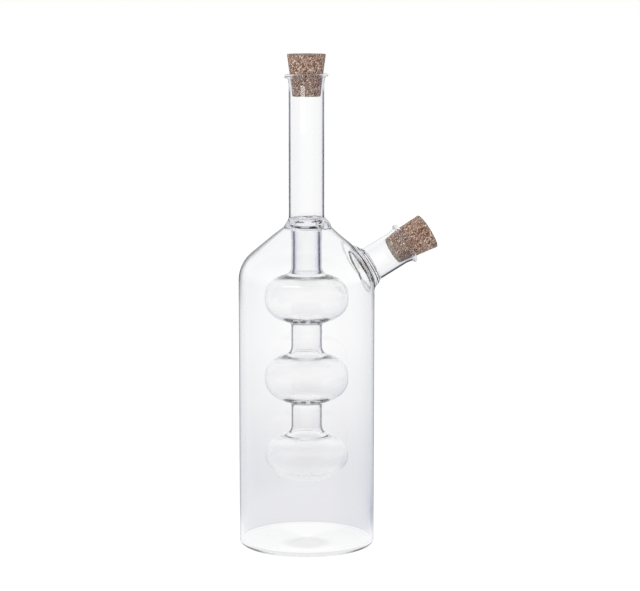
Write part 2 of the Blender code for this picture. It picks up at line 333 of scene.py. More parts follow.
def bulb_arc(radius, centre, closed, steps=40):
    """One bulb's outline from its top down: a superellipse that begins at the stem, and may close below."""
    start = math.acos(min(1, (STEM_RADIUS / radius) ** (BULB_SQUARENESS / 2)))
    end = -math.pi / 2 if closed else -start
    points = []
    for step in range(steps + 1):
        angle = start + (end - start) * step / steps
        power = 2 / (BOTTOM_SQUARENESS if closed and angle < 0 else BULB_SQUARENESS)
        across = abs(math.cos(angle)) ** power * radius
        up = abs(math.sin(angle)) ** power * BULB_HALF_HEIGHT
        points.append((across, centre + math.copysign(up, angle)))
    if closed:
        points[-1] = (0.0, centre - BULB_HALF_HEIGHT)
    return points


def bridged(path, place, before, after, steps=14):
    """The path with a smooth bridge over its corner at place, from before to after it along the path."""
    path = np.asarray(path, float)
    along = path_lengths(path)
    middle = along[np.argmin(np.linalg.norm(path - place, axis=1))]

    def at(length):
        return np.array([np.interp(length, along, path[:, 0]), np.interp(length, along, path[:, 1])])

    start, end = at(middle - before), at(middle + after)
    handle = 0.4 * np.linalg.norm(end - start)
    leaving = start - at(middle - before - 0.4)
    arriving = at(middle + after + 0.4) - end
    first = start + leaving / np.linalg.norm(leaving) * handle
    second = end - arriving / np.linalg.norm(arriving) * handle
    t = np.linspace(0, 1, steps)[:, None]
    curve = (1 - t) ** 3 * start + 3 * (1 - t) ** 2 * t * first + 3 * (1 - t) * t**2 * second + t**3 * end
    return np.concatenate([path[along < middle - before - 1e-6], curve, path[along > middle + after + 1e-6]])


def vessel_path(size):
    """The inner vessel's outside from the stem's top down to the lowest bulb's bottom, with flared joints."""
    path, joints = [(STEM_RADIUS, size.seal_foot)], []
    for number, centre in enumerate(size.centres):
        lowest = number == len(size.centres) - 1
        arc = bulb_arc(size.bulb_radius, centre, lowest)
        joints.append((arc[0], *TOP_FLARE))
        if not lowest:
            joints.append((arc[-1], *BOTTOM_FLARE[::-1]))
        path += arc
    path = dense(path, 0.5)
    for place, before, after in joints:
        path = bridged(path, place, before, after)
    return path


def vessel_wall(path, size):
    """The inner vessel's wall along its path: thick at the seal and the bulbs' joints, thin where blown."""
    radius, height = path[:, 0], path[:, 1]
    from_centre = np.min(np.abs(height[:, None] - np.array(size.centres)), axis=1)
    flank = np.interp(radius, [8.5, 11.5, 16.5, 20.0, 23.2], [1.5, 1.3, 0.95, 0.72, 0.62])
    beyond = np.clip(from_centre - BULB_HALF_HEIGHT, 0, None)
    stem = STEM_WALL - 0.15 + 0.35 * np.exp(-beyond / 2.2) + 0.95 * rise(height, size.seal_foot - 22.0, 22.0)
    wall = np.where(from_centre < BULB_HALF_HEIGHT - 0.6, flank, stem)
    bottom = (height < size.centres[-1]) & (radius < 20)
    wall[bottom] = np.interp(radius[bottom], [0.0, 8.0, 14.0, 20.0], [2.6, 2.2, 1.4, 0.75])
    return np.convolve(np.pad(wall, 3, mode="edge"), np.ones(7) / 7, mode="valid")


def offset_inwards(path, wall):
    """The path moved by wall to its inner side. It runs downwards, and ends on the axis."""
    step = np.gradient(path, axis=0)
    step /= np.linalg.norm(step, axis=1, keepdims=True)
    moved = path + np.stack([step[:, 1], -step[:, 0]], axis=1) * wall[:, None]
    moved[-1] = (0.0, path[-1, 1] + wall[-1])
    keep = moved[:, 0] > 0.05
    keep[-1] = True
    return moved[keep]


def turned(path, columns=COLUMNS):
    """A grid of points (rows, columns, 3) turned from a path about +Z."""
    angles = np.arange(columns) * math.tau / columns
    path = np.asarray(path, float)
    r, z = path[:, :1], path[:, 1:]
    return np.stack([r * np.cos(angles), r * np.sin(angles), z + 0 * angles], axis=2)


def is_pole(points, row):
    return np.linalg.norm(points[row, 0] - points[row, points.shape[1] // 2]) < 1e-6


def grid_normals(points):
    """Normals of a grid of points that is closed along its columns."""
    along = np.gradient(points, axis=0)
    across = np.roll(points, -1, axis=1) - np.roll(points, 1, axis=1)
    normals = np.cross(across, along)
    normals = normals / np.maximum(np.linalg.norm(normals, axis=2, keepdims=True), 1e-12)
    for row, neighbour in ((0, 1), (-1, -2)):
        if is_pole(points, row):
            mean = normals[neighbour].mean(axis=0)
            normals[row] = mean / np.linalg.norm(mean)
    return normals


def cut(points, normals, parts):
    """The points and normals of a grid's stretches, one for each part of the path that it was made from."""
    ends = [0, *np.cumsum([len(part) - 1 for part in parts])]
    return [(points[a : b + 1], normals[a : b + 1]) for a, b in zip(ends, ends[1:])]


def add_object(name, data):
    obj = bpy.data.objects.new(name, data)
    bpy.context.scene.collection.objects.link(obj)
    return obj


class Skin:
    """Collects vertices with their normals, and faces with the number of their finish, for one mesh."""

    def __init__(self):
        self.points, self.normals, self.faces, self.looks, self.count = [], [], [], [], 0

    def add(self, points, normals):
        start = self.count
        points = np.asarray(points, float).reshape(-1, 3)
        self.points.append(points)
        self.normals.append(np.asarray(normals, float).reshape(-1, 3))
        self.count += len(points)
        return start

    def add_face(self, corners, look):
        self.faces.append(corners)
        self.looks.append(look)

    def add_grid(self, points, normals, look=OUTSIDE, keep=None):
        """Adds a grid closed along its columns. Rows that shrink to a point become a pole.

        keep marks the faces to make, and look is their finish, for all rows or for each.
        """
        rows, columns = points.shape[:2]
        index = np.zeros((rows, columns), int)
        for row in range(rows):
            if is_pole(points, row):
                index[row] = self.add(points[row, :1], normals[row, :1])
            else:
                index[row] = self.add(points[row], normals[row]) + np.arange(columns)
        following = np.roll(index, -1, axis=1)
        quads = np.stack([index[:-1], following[:-1], following[1:], index[1:]], axis=2)
        looks = np.broadcast_to(np.reshape(look, (-1, 1)), quads.shape[:2])
        if keep is None:
            keep = np.ones(quads.shape[:2], bool)
        for corners, face_look in zip(quads[keep].tolist(), looks[keep].tolist()):
            corners = [c for k, c in enumerate(corners) if c != corners[k - 1]]
            if len(corners) > 2:
                self.add_face(corners, face_look)
        return index

    def build(self, name, body, nodes, materials, marks=()):
        """Makes the mesh. marks are (attribute, vertices, values)."""
        points = np.concatenate(self.points) * MM
        normals = np.concatenate(self.normals)
        used = np.unique([c for face in self.faces for c in face])
        new = np.zeros(self.count, int)
        new[used] = np.arange(len(used))
        mesh = bpy.data.meshes.new(name)
        mesh.from_pydata(points[used].tolist(), [], [new[face].tolist() for face in self.faces])
        mesh.shade_smooth()
        mesh.normals_split_custom_set_from_vertices(normals[used].tolist())
        obj = add_object(name, mesh)
        for material in materials:
            mesh.materials.append(material)
        mesh.polygons.foreach_set("material_index", self.looks)
        for label, vertices, amount in marks:
            attribute = mesh.attributes.get(label) or mesh.attributes.new(label, "FLOAT", "POINT")
            values = np.zeros(len(used), np.float32)
            attribute.data.foreach_get("value", values)
            values[new[vertices]] = amount
            attribute.data.foreach_set("value", values)
        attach(obj, body)
        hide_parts(*nodes)
        return obj


def new_material(name):
    material = bpy.data.materials.new(name)
    material.use_nodes = True
    tree = material.node_tree
    tree.nodes.clear()
    return material, tree


def node(tree, kind, inputs=None, **settings):
    """Adds a shader node. inputs are sockets to link or values, by the input's name or number."""
    made = tree.nodes.new("ShaderNode" + kind)
    for key, value in settings.items():
        setattr(made, key, value)
    for key, value in (inputs or {}).items():
        if isinstance(value, bpy.types.NodeSocket):
            tree.links.new(value, made.inputs[key])
        else:
            made.inputs[key].default_value = value
    return made


def shader(tree, kind, inputs=None):
    return node(tree, kind, inputs).outputs[0]


def mix_shader(tree, factor, a, b):
    return shader(tree, "MixShader", {0: factor, 1: a, 2: b})


def ramp(tree, factor, stops):
    """A colour from a factor, evenly between stops of (factor, colour)."""
    made = node(tree, "ValToRGB", {"Fac": factor})
    elements = made.color_ramp.elements
    while len(elements) < len(stops):
        elements.new(0.5)
    for element, (place, colour) in zip(elements, stops):
        element.position = place
        element.color = (*colour, 1.0)
    return made.outputs["Color"]


def math_node(tree, operation, a, b=0.0, clamp=False):
    return node(tree, "Math", {0: a, 1: b}, operation=operation, use_clamp=clamp).outputs[0]


def vector_math(tree, operation, a, b=(0.0, 0.0, 0.0)):
    made = node(tree, "VectorMath", {0: a, 1: b}, operation=operation)
    return made.outputs["Value" if operation in ("DOT_PRODUCT", "LENGTH", "DISTANCE") else "Vector"]


def map_range(tree, value, start, end, to_start=0.0, to_end=1.0):
    limits = {"From Min": start, "From Max": end, "To Min": to_start, "To Max": to_end}
    return node(tree, "MapRange", {"Value": value, **limits}).outputs[0]


def mix_colour(tree, factor, a, b, blend="MIX"):
    a, b = (value if isinstance(value, bpy.types.NodeSocket) else (*value, 1.0) for value in (a, b))
    return node(tree, "Mix", {0: factor, 6: a, 7: b}, data_type="RGBA", blend_type=blend).outputs[2]


def own_place(tree):
    return node(tree, "TexCoord").outputs["Object"]


def part_of(tree, vector, axis):
    return node(tree, "SeparateXYZ", {"Vector": vector}).outputs[axis]


def mark(tree, name):
    """A mark in the mesh, by its attribute's name."""
    return node(tree, "Attribute", attribute_name=name).outputs["Fac"]


def noise(tree, where, scale, detail, roughness=0.5, output="Fac"):
    inputs = {"Vector": where, "Scale": scale, "Detail": detail, "Roughness": roughness}
    return node(tree, "TexNoise", inputs).outputs[output]


def weld_ring_shade(tree, where):
    """Painted shade of the dark rings round the spout's weld, standing in for its dark refraction lines: they
    end away from it, and are fainter behind.
    """
    offset = vector_math(tree, "SUBTRACT", where, tuple(c * MM for c in SPOUT_ORIGIN))
    along = vector_math(tree, "DOT_PRODUCT", offset, SPOUT_AXES[:, 2].tolist())
    total = 0.0
    for place, width in WELD_SHADE_RINGS:
        apart = math_node(tree, "ABSOLUTE", math_node(tree, "SUBTRACT", along, place * MM))
        ring = map_range(tree, apart, width * MM, 0.4 * width * MM)
        total = math_node(tree, "ADD", ring, total)
    close = map_range(tree, vector_math(tree, "LENGTH", offset), 0.025, 0.021)
    in_front = map_range(tree, part_of(tree, offset, "Y"), 0.006, -0.004, 0.35, 1.0)
    return math_node(tree, "MULTIPLY", total, math_node(tree, "MULTIPLY", close, in_front), clamp=True)


def glass_measure(tree, where, measure):
    """What picks between a glass's two edges: a mark, the height, how level or how far down it faces."""
    if measure == "sides":
        return mark(tree, "sides")
    if measure == "height":
        return part_of(tree, where, "Z")
    upward = part_of(tree, node(tree, "NewGeometry").outputs["Normal"], "Z")
    if measure == "level":
        return math_node(tree, "ABSOLUTE", upward)
    return math_node(tree, "MULTIPLY", upward, -1.0)


def glass_material(name, edge, waves=DRAWN, other=None, dark=None, caught=(0.0, 0.45)):
    """Clear glass with faint drawing waves. Lamps reach through it.

    edge gives its colour from face-on to edge-on, with painted shade at the edges. other is (edge, measure,
    start, end): that edge takes over between two values of the measure "height", "level" or "down", or of
    the mesh's mark "sides". dark names what paints shade on the glass in dark lines: the mesh's mark
    "groove", or the "rings" round the spout's weld. Light caught in the wall leaves it after many
    reflections, through a stand-in of fixed grey, and where the mesh is marked "hatch" in painted streaks of
    shade between the two greys of caught.
    """
    material, tree = new_material(name)
    facing = node(tree, "LayerWeight", {"Blend": 0.5}).outputs["Facing"]
    where = own_place(tree)
    colour = ramp(tree, facing, edge)
    if other:
        other_edge, measure, start, end = other
        share = map_range(tree, glass_measure(tree, where, measure), start, end)
        colour = mix_colour(tree, share, colour, ramp(tree, facing, other_edge))
    height = noise(tree, where, waves[0], 2.0, 0.4)
    bump = node(tree, "Bump", {"Height": height, "Strength": waves[1], "Distance": 0.001})
    inputs = {"Base Color": colour, "Roughness": 0.0, "IOR": 1.47, "Transmission Weight": 1.0}
    surface = shader(tree, "BsdfPrincipled", {**inputs, "Normal": bump.outputs["Normal"]})
    if dark:
        lines = weld_ring_shade(tree, where) if dark == "rings" else mark(tree, dark)
        strength = map_range(tree, noise(tree, where, 330.0, 1.0), 0.2, 0.45)
        # Painted shade: a dark matt surface laid into the glass along the lines
        painted_shade_surface = shader(tree, "BsdfDiffuse", {"Color": (0.03, 0.03, 0.036, 1.0)})
        surface = mix_shader(tree, math_node(tree, "MULTIPLY", lines, strength), surface, painted_shade_surface)
    # Painted shade: light caught in the wall leaves through a transparent stand-in of fixed grey, in dark
    # streaks where marked hatch
    low, high = caught
    greys = [(0.44, (low, low, low * 1.02)), (0.56, (high, high, high))]
    streaks = ramp(tree, noise(tree, where, 600.0, 1.0), greys)
    leaving = mix_colour(tree, mark(tree, "hatch"), (0.93, 0.935, 0.94), streaks)
    path = node(tree, "LightPath")
    many = math_node(tree, "GREATER_THAN", path.outputs["Glossy Depth"], 2.5)
    surface = mix_shader(tree, many, surface, shader(tree, "BsdfTransparent", {"Color": leaving}))
    lamplight = shader(tree, "BsdfTransparent", {"Color": (0.98, 0.97, 0.965, 1.0)})
    surface = mix_shader(tree, path.outputs["Is Shadow Ray"], surface, lamplight)
    node(tree, "OutputMaterial", {"Surface": surface})
    return material


def cork_material(name, turn):
    """Pressed cork: flat granules of several browns lying askew, dark seams and pits, pale flecks."""
    material, tree = new_material(name)
    turned_to = node(tree, "Mapping", {"Vector": own_place(tree), "Rotation": turn}).outputs[0]
    tilt = node(tree, "Mapping", {"Vector": turned_to, "Scale": (0.46, 1.0, 1.1)}).outputs[0]
    bent = vector_math(tree, "MULTIPLY", noise(tree, tilt, 1300.0, 2.0, output="Color"), (0.0003,) * 3)
    place = vector_math(tree, "ADD", tilt, bent)

    def toned(colour, mask, strength, tone):
        return mix_colour(tree, math_node(tree, "MULTIPLY", mask, strength), colour, tone)

    grain = node(tree, "TexVoronoi", {"Vector": place, "Scale": 1650.0})
    shade = node(tree, "SeparateColor", {"Color": grain.outputs["Color"]}).outputs[0]
    fine = noise(tree, place, 2600.0, 4.0, 0.65)
    colour = mix_colour(tree, 1.0, ramp(tree, shade, GRANULES), ramp(tree, fine, FINE_GRAIN), "MULTIPLY")
    seam = node(tree, "TexVoronoi", {"Vector": place, "Scale": 1650.0}, feature="DISTANCE_TO_EDGE")
    seams = ramp(tree, seam.outputs["Distance"], [(0.0, WHITE), (0.10, BLACK)])
    colour = toned(colour, seams, 0.55, (0.13, 0.065, 0.045))
    pit = node(tree, "TexVoronoi", {"Vector": place, "Scale": 1700.0})
    is_pit = node(tree, "SeparateColor", {"Color": pit.outputs["Color"]}).outputs[1]
    pit_shape = ramp(tree, pit.outputs["Distance"], [(0.34, WHITE), (0.55, BLACK)])
    pits = math_node(tree, "MULTIPLY", pit_shape, ramp(tree, is_pit, [(0.64, BLACK), (0.68, WHITE)]))
    colour = toned(colour, pits, 0.85, (0.07, 0.032, 0.024))
    # Darker in the relief's seams and missing granules: partly the cork's own dark joints, partly painted
    # shade in the recesses
    colour = toned(colour, mark(tree, "cavity"), 0.75, (0.08, 0.038, 0.028))
    # Painted light: the inner end face is lightened towards a pale grey-brown
    colour = toned(colour, mark(tree, "inner_end"), 0.65, (0.62, 0.54, 0.43))
    # Painted sheen: the top end and its rim are turned greyer
    colour = toned(colour, mark(tree, "top_end"), 0.65, (0.26, 0.235, 0.22))
    height = math_node(tree, "SUBTRACT", fine, math_node(tree, "MULTIPLY", pits, 1.6))
    height = math_node(tree, "SUBTRACT", height, math_node(tree, "MULTIPLY", seams, 0.7))
    bump = node(tree, "Bump", {"Height": height, "Strength": 0.9, "Distance": 0.00022})
    inputs = {
        "Base Color": colour,
        "Roughness": map_range(tree, fine, 0.0, 1.0, 0.72, 0.95),
        "Specular IOR Level": 0.3,
        "Sheen Weight": 0.08,
        "Sheen Roughness": 0.5,
        "Normal": bump.outputs["Normal"],
    }
    node(tree, "OutputMaterial", {"Surface": shader(tree, "BsdfPrincipled", inputs)})
    return material


def glass_materials():
    """The glass materials by what they are for."""
    # The edge ramps are painted shade; the second one takes over by height on the shoulder and lip, by how
    # level the bulbs face, where the spout faces down, and at the base's sides
    shoulder = (SHOULDER_EDGE, "height", 0.130, 0.160)
    base_sides = (BASE_SIDE_EDGE, "sides", 0.15, 0.5)
    lip = (LIP_EDGE, "height", 0.2510, 0.2550)
    level = (BULB_LEVEL_EDGE, "level", 0.35, 0.75)
    spout_low = (SPOUT_LOW_EDGE, "down", 0.1, 0.4)
    blown_greys = (0.0, 0.4)
    return SimpleNamespace(
        bore=glass_material("clear_bore_glass", NO_EDGE),
        jacket=glass_material("clear_body_glass", BODY_EDGE, other=shoulder, dark="rings"),
        base=glass_material("clear_base_glass", BASE_EDGE, other=base_sides),
        tube=glass_material("clear_tube_glass", TUBE_EDGE, other=lip),
        lip=glass_material("clear_lip_glass", LIP_EDGE, MELTED),
        bulb=glass_material("clear_blown_glass", BULB_EDGE, BLOWN, level, caught=blown_greys),
        bulb_bore=glass_material("clear_blown_bore_glass", NO_EDGE, caught=blown_greys),
        stem=glass_material("clear_thick_glass", STEM_EDGE, THICK),
        spout=glass_material("clear_spout_glass", SPOUT_EDGE, other=spout_low),
        seal=glass_material("clear_seal_glass", SEAL_EDGE, MELTED, dark="groove_shade"),
        seal_bore=glass_material("clear_seal_bore_glass", NO_EDGE, dark="groove_shade"),
        weld=glass_material("clear_weld_glass", WELD_EDGE, WELDED, dark="rings"),
    )


def measures(cad):
    """Sizes that the glass takes from the CAD boxes."""
    shoulder_top = cad["jacket"][1].z / MM
    base_radius = cad["jacket"][1].y / MM
    highest = shoulder_top - TOP_BULB_DROP
    lowest = cad["vessel"][0].z / MM + BULB_HALF_HEIGHT
    return SimpleNamespace(
        base_radius=base_radius,
        inner_radius=base_radius - JACKET_WALL,
        shoulder_top=shoulder_top,
        seal_foot=shoulder_top - SEAL_FOOT_DROP,
        tube_bottom=cad["neck_tube"][0].z / MM - HALF_GAP,
        rim=cad["neck_tube"][1].z / MM,
        bulb_radius=cad["vessel"][1].y / MM,
        centres=[highest + (lowest - highest) * k / (BULB_COUNT - 1) for k in range(BULB_COUNT)],
    )


def outer_way(size, vessel_in):
    """The skin's outer way: under the base, up the outside, over the lip and down into the lowest bulb.

    Its parts lie on the jacket, the seal's outside, the neck tube, the seal's inside and the inner vessel.
    """
    top, bottom = size.shoulder_top, size.tube_bottom
    middle = (top + bottom) / 2
    stem_bore = vessel_in[0][0]
    jacket = outline(
        1.5,
        (0.0, PUNT_HEIGHT, 0),
        (PUNT_RADIUS * 0.5, PUNT_HEIGHT, 30),
        (PUNT_RADIUS * 1.5, 0.0, 30),
        (size.base_radius, 0.0, BASE_EDGE_RADIUS),
        (size.base_radius, SHOULDER_HEIGHT, SHOULDER_ROUNDING),
        (SEAL_RADIUS, top, 0),
    )
    seal_out = outline(
        0.25,
        (SEAL_RADIUS, top, 0),
        (SEAL_RADIUS - 0.5, top + 0.7, 0.8),
        (11.0, middle + 0.2, 5.0),
        (TUBE_RADIUS + 0.25, bottom - 0.9, 0.8),
        (TUBE_RADIUS, bottom, 0),
    )
    seal_in = outline(
        0.25,
        (BORE, bottom, 0),
        (BORE - 0.05, bottom - 1.0, 0.9),
        (stem_bore + 1.0, middle + 1.2, 0.9),
        (stem_bore + 1.15, top + 0.7, 1.6),
        (stem_bore, top - 1.0, 1.3),
        (stem_bore, size.seal_foot, 0),
    )
    return [jacket, seal_out, tube_outline(2.0, bottom, size.rim), seal_in, vessel_in]


def chamber_way(size, vessel):
    """The chamber's way: up the inner vessel's outside, along the ceiling and down the jacket's inside."""
    ceiling = size.shoulder_top - CEILING_DROP
    stem_top = ceiling - 1.2
    vessel_out = vessel[vessel[:, 1] < stem_top - 0.05].tolist()[::-1] + [[STEM_RADIUS, stem_top]]
    jacket_in = outline(
        1.5,
        (STEM_RADIUS, stem_top, 0),
        (STEM_RADIUS, ceiling, 0.8),
        (size.inner_radius - (ceiling - INNER_SHOULDER_HEIGHT) / math.tan(SHOULDER_SLOPE), ceiling, 1.0),
        (size.inner_radius, INNER_SHOULDER_HEIGHT, SHOULDER_ROUNDING - JACKET_WALL),
        (size.inner_radius, BASE_THICKNESS, FLOOR_EDGE_RADIUS),
        (0.0, BASE_THICKNESS, 0),
    )
    return [vessel_out, jacket_in]


def build_glass(cad):
    """The whole glass skin, cut into one piece for each glass node."""
    glass = glass_materials()
    size = measures(cad)
    vessel = vessel_path(size)
    vessel_in = offset_inwards(vessel, vessel_wall(vessel, size)).tolist()
    vessel_in[0][1] = size.seal_foot
    outer_parts = outer_way(size, vessel_in)
    outer = worked_by_hand(turned(joined(outer_parts)), size)
    jacket_out, seal_out, tube, seal_in, vessel_in = cut(outer, grid_normals(outer), outer_parts)
    chamber_parts = chamber_way(size, vessel)
    chamber = turned(joined(chamber_parts))
    vessel_out, jacket_in = cut(chamber, grid_normals(chamber), chamber_parts)
    out_profile, in_profile = np.array(outer_parts[0]), np.array(chamber_parts[1])

    skin = Skin()
    outer_index = skin_with_hole(skin, *jacket_out, out_profile, OUTSIDE)
    base_faces = int(np.sum(out_profile[:, 1] < BASE_EDGE_RADIUS * 0.8)) * COLUMNS
    skin.looks[:base_faces] = [BASE] * base_faces
    inner_index = skin_with_hole(skin, *jacket_in, in_profile, INSIDE)
    near_seal = size.shoulder_top - 8.0
    marks = [
        # sides: painted shade, the base's edges darker at the front view's left and right
        ("sides", outer_index, np.cos(round_axis(jacket_out[0])[0] + RIGHT_TURN) ** 2),
        # hatch: painted streaks of shade in the light leaving the wall near the seal
        ("hatch", outer_index, rise(jacket_out[0][..., 2], near_seal, 3.0)),
        ("hatch", inner_index, rise(jacket_in[0][..., 2], near_seal, 3.0)),
    ]
    finishes = [glass.jacket, glass.bore, glass.base]
    skin.build("jacket_glass", "bottle", ["outer_jacket"], finishes, marks)

    skin = Skin()
    outer_index = skin.add_grid(*seal_out)
    inner_index = skin.add_grid(*seal_in, INSIDE)
    marks = [
        # Painted shade: dark groove lines inside the seal, and painted streaks of shade all over it
        ("groove_shade", inner_index, seal_groove_shade(seal_in[0], size.shoulder_top)),
        ("hatch", inner_index, 1.0),
        ("hatch", outer_index, 1.0),
    ]
    finishes = [glass.seal, glass.seal_bore]
    skin.build("neck_seal_glass", "bottle", ["neck_seal"], finishes, marks)

    skin = Skin()
    add_tube(skin, *tube, outer_parts[2])
    finishes = [glass.tube, glass.bore, glass.lip]
    skin.build("neck_tube_glass", "bottle", ["neck_tube"], finishes)

    skin = Skin()
    inner_index = skin.add_grid(*vessel_in, INSIDE)
    radii, heights = np.array(chamber_parts[0][:-1]).T
    looks = np.where(radii > STEM_RADIUS + 1.5, OUTSIDE, np.where(heights > size.centres[0], STEM, LINK))
    looks[heights < size.centres[-1]] = OUTSIDE
    outer_index = skin.add_grid(*vessel_out, looks)
    marks = [
        ("hatch", inner_index, bulb_hatching(vessel_in[0], size.centres)),
        ("hatch", outer_index, bulb_hatching(vessel_out[0], size.centres)),
    ]
    finishes = [glass.bulb, glass.bulb_bore, glass.tube, glass.stem]
    skin.build("inner_vessel_glass", "bottle", ["inner_vessel"], finishes, marks)

    build_spout(out_profile, in_profile, glass)


def bulb_hatching(points, centres):
    """Where painted streaks of shade darken the light leaving each bulb's wall: round the stem on top, in
    dashes at its bottom.
    """
    angle, radius = round_axis(points)
    nearest = np.argmin(np.abs(points[..., 2:] - np.array(centres)), axis=-1)
    over = points[..., 2] - np.array(centres)[nearest]
    top = (over > 0) * rise(radius, 9.0, 1.0) * fall(radius, 18.5, 1.5)
    dashes = np.clip(2.2 * np.sin(9 * angle + 1.0) + 0.6, 0, 1) * fall(radius, 12.2, 1.2)
    bottom = (over < 0) * (nearest < len(centres) - 1) * dashes
    return np.clip(top + bottom, 0, 1)


def seal_groove_shade(points, shoulder_top):
    """Painted shade in dark groove lines inside the neck's seal: a ring above its foot, and a broken ring
    higher up.
    """
    height = points[..., 2] - shoulder_top
    angle = round_axis(points)[0]
    broken = bell(height, 2.8, 0.34) * np.clip(1.5 * np.sin(5 * angle + 0.6) + 0.9, 0, 1)
    return np.clip(0.9 * bell(height, -0.9, 0.28) + broken, 0, 1)


def add_tube(skin, points, normals, path):
    """Adds a tube that turns back over its lip: the lip and the bore have their own finishes."""
    path = np.array(path)
    turn = int(np.argmax(path[:, 1])) + 1
    lip = path[:, 1] > path[:, 1].max() - 2.6
    index = skin.add_grid(points[: turn + 1], normals[: turn + 1], np.where(lip[:turn], LIP, OUTSIDE))
    start = skin.count
    rest = skin.add_grid(points[turn:], normals[turn:], np.where(lip[turn:-1], LIP, INSIDE))
    same = dict(zip(rest[0].tolist(), index[-1].tolist()))
    skin.faces = [[same.get(c, c) for c in face] if max(face) >= start else face for face in skin.faces]


def worked_by_hand(points, size):
    """The small unevenness of hand work: a lip thicker on one side, and a seal that bulges on the other."""
    z = points[..., 2]
    angle, radius = round_axis(points)
    side = (1 + np.cos(angle + RIGHT_TURN)) / 2
    lip = rise(z, size.rim - 3.0, 1.2) * rise(radius, 8.0, 3.0)
    z = z + lip * (0.5 * side - 0.55)
    under = lip * fall(z, size.rim - 0.7, 0.9)
    z = z + under * (0.75 * side - 0.35)
    share = rise(z, size.shoulder_top, size.tube_bottom - size.shoulder_top)
    below = rise(z, size.shoulder_top - 4.0, 4.0)
    bulge = 1.0 * side * np.sin(math.pi * share) + below * (1 - share) * (side - 0.5)
    scale = (radius + (radius > 9) * bulge) / np.maximum(radius, 1e-9)
    return np.stack([points[..., 0] * scale, points[..., 1] * scale, z], axis=2)


def skin_with_hole(skin, points, normals, profile, look):
    """Adds one side of the jacket, with a smooth round hole where the spout's seal begins.

    A block of the grid round the hole is made anew, on the wall laid flat: angle times a mean radius, and
    length along the profile.
    """
    loop = np.array([weld_point(profile, angle) for angle in ANGLES])
    heights = profile[:, 1]
    step = math.tau / COLUMNS
    side = math.ceil((math.radians(3) + np.abs(np.arctan2(loop[:, 1], loop[:, 0])).max()) / step)
    inside = (heights >= loop[:, 2].min() - 3.0) & (heights <= loop[:, 2].max() + 3.0) & (profile[:, 0] > 1)
    first, last = np.flatnonzero(inside)[[0, -1]]

    keep = np.ones((len(profile) - 1, COLUMNS), bool)
    keep[first:last, :side] = False
    keep[first:last, COLUMNS - side :] = False
    index = skin.add_grid(points, normals, look, keep)
    along = path_lengths(profile)
    mean_radius = profile[first : last + 1, 0].mean()
    upward = first + np.argsort(heights[first : last + 1])
    loop_along = np.interp(loop[:, 2], heights[upward], along[upward])
    loop_flat = np.stack([np.arctan2(loop[:, 1], loop[:, 0]) * mean_radius, loop_along], axis=1)

    flat, vertices = [], []
    for row in range(first, last + 1):
        for column in range(-side, side + 1):
            place = np.array([column * step * mean_radius, along[row]])
            border = row in (first, last) or abs(column) == side
            apart = np.linalg.norm(loop_flat - place, axis=1).min()
            if border or (outside(loop_flat, place) and apart > 0.45):
                flat.append(place)
                vertices.append(int(index[row, column % COLUMNS]))
    loop_at, count = len(flat), len(loop)
    start = skin.add(loop, surface_normals(profile, loop, normals[first, 0, 0] > 0))
    flat += list(loop_flat)
    vertices += [start + k for k in range(count)]
    edges = [(loop_at + k, loop_at + (k + 1) % count) for k in range(count)]
    made = delaunay_2d_cdt([Vector(p) for p in flat], edges, [], 0, 1e-6)
    faces, origin = made[2], made[3]
    for face in faces:
        corners = [origin[v][0] for v in face]
        if outside(loop_flat, np.mean([flat[c] for c in corners], axis=0)):
            skin.add_face([vertices[c] for c in corners], look)
    fix_winding(skin, len(faces))
    return index


def fix_winding(skin, count):
    """Turns the last faces so that each agrees with its vertices' normals."""
    points = np.concatenate(skin.points)
    normals = np.concatenate(skin.normals)
    for k in range(max(0, len(skin.faces) - count), len(skin.faces)):
        a, b, c = skin.faces[k][:3]
        face = np.cross(points[b] - points[a], points[c] - points[a])
        if np.dot(face, normals[a] + normals[b] + normals[c]) < 0:
            skin.faces[k] = skin.faces[k][::-1]


def outside(polygon, point):
    """Whether a point lies outside a polygon, by how often a line from it crosses the sides."""
    x, y = polygon[:, 0], polygon[:, 1]
    x2, y2 = np.roll(x, -1), np.roll(y, -1)
    crosses = (y > point[1]) != (y2 > point[1])
    with np.errstate(divide="ignore", invalid="ignore"):
        at = (x2 - x) * (point[1] - y) / (y2 - y) + x
    return int((crosses & (point[0] < at)).sum()) % 2 == 0


def wall_rows(profile, lowest):
    """The rows of a jacket profile's wall and shoulder above a height, from the bottom up."""
    rows = np.flatnonzero((profile[:, 1] > lowest) & (profile[:, 1] < 178) & (profile[:, 0] > 12))
    return rows[np.argsort(profile[rows, 1])]


def surface_normals(profile, places, outwards):
    """Normals of a turned surface at points on it."""
    steps = np.gradient(profile[:, 1])
    slope = np.gradient(profile[:, 0]) / np.where(np.abs(steps) < 1e-9, 1e-9, steps)
    rows = wall_rows(profile, 120)
    lean = np.interp(places[:, 2], profile[rows, 1], slope[rows])
    radial = places[:, :2] / np.linalg.norm(places[:, :2], axis=1, keepdims=True)
    normals = np.concatenate([radial, -lean[:, None]], axis=1)
    normals /= np.linalg.norm(normals, axis=1, keepdims=True)
    return normals * (1 if outwards else -1)


def on_surface(profile, rho, angle):
    """How far along the spout's axis a line parallel to it meets the jacket's surface."""
    rows = wall_rows(profile, 60)
    radii, heights = profile[rows].T
    low, high = -30.0, 15.0
    start = np.array(SPOUT_ORIGIN) + SPOUT_AXES @ np.array([rho * math.cos(angle), rho * math.sin(angle), 0])
    for _ in range(50):
        middle = (low + high) / 2
        p = start + SPOUT_AXES[:, 2] * middle
        if math.hypot(p[0], p[1]) > np.interp(p[2], heights, radii):
            high = middle
        else:
            low = middle
    return (low + high) / 2


